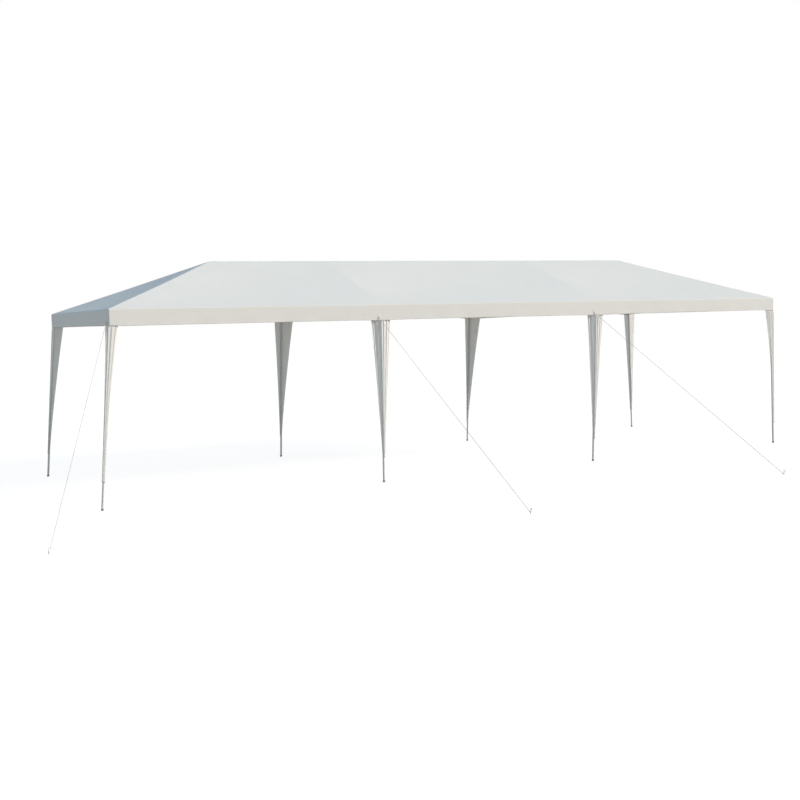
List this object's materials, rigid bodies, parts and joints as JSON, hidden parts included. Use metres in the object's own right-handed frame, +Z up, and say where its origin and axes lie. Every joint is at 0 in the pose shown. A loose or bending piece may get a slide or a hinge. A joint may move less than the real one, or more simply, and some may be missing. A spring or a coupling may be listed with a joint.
{
  "type": "marquee tent",
  "caption": "Rectangular party marquee with a hipped white cover and valance on a tube frame, legs in tapering drapes, held by guy ropes to ground pegs.",
  "frame": {"origin": "centre of the front left leg's foot, on the ground", "axes": "+X along the tent's length from the front left foot to the front right one, +Y from the front to the back, +Z up"},
  "size_m": [10.0781, 5.6756, 2.6],
  "materials": {
    "painted_steel": "white powder coat",
    "cover_cloth": "coated woven sheet, slight sheen",
    "drape_cloth": "coated woven sheet, slight sheen",
    "guy_rope": "braided cord",
    "peg_steel": "bright zinc"
  },
  "bodies": {
    "root": {"front_leg_1": "painted_steel", "front_leg_2": "painted_steel", "front_leg_3": "painted_steel", "front_leg_4": "painted_steel", "back_leg_1": "painted_steel", "back_leg_2": "painted_steel", "back_leg_3": "painted_steel", "back_leg_4": "painted_steel", "front_eave_connector_1": "painted_steel", "front_eave_connector_2": "painted_steel", "front_eave_connector_3": "painted_steel", "front_eave_connector_4": "painted_steel", "back_eave_connector_1": "painted_steel", "back_eave_connector_2": "painted_steel", "back_eave_connector_3": "painted_steel", "back_eave_connector_4": "painted_steel", "front_eave_rail_1": "painted_steel", "front_eave_rail_2": "painted_steel", "front_eave_rail_3": "painted_steel", "back_eave_rail_1": "painted_steel", "back_eave_rail_2": "painted_steel", "back_eave_rail_3": "painted_steel", "left_eave_rail": "painted_steel", "right_eave_rail": "painted_steel", "hip_rafter_front_left": "painted_steel", "hip_rafter_front_right": "painted_steel", "hip_rafter_back_left": "painted_steel", "hip_rafter_back_right": "painted_steel", "rafter_front_2": "painted_steel", "rafter_front_3": "painted_steel", "rafter_back_2": "painted_steel", "rafter_back_3": "painted_steel", "ridge_connector_left": "painted_steel", "ridge_connector_right": "painted_steel", "ridge_pole": "painted_steel", "roof_front_panel": "cover_cloth", "roof_back_panel": "cover_cloth", "roof_left_panel": "cover_cloth", "roof_right_panel": "cover_cloth", "valance_front": "cover_cloth", "valance_back": "cover_cloth", "valance_left": "cover_cloth", "valance_right": "cover_cloth", "front_drape_1": "drape_cloth", "front_drape_2": "drape_cloth", "front_drape_3": "drape_cloth", "front_drape_4": "drape_cloth", "back_drape_1": "drape_cloth", "back_drape_2": "drape_cloth", "back_drape_3": "drape_cloth", "back_drape_4": "drape_cloth", "guy_rope_left": "guy_rope", "guy_rope_middle": "guy_rope", "guy_rope_right": "guy_rope", "ground_peg_left": "peg_steel", "ground_peg_middle": "peg_steel", "ground_peg_right": "peg_steel"}
  },
  "joints": []
}
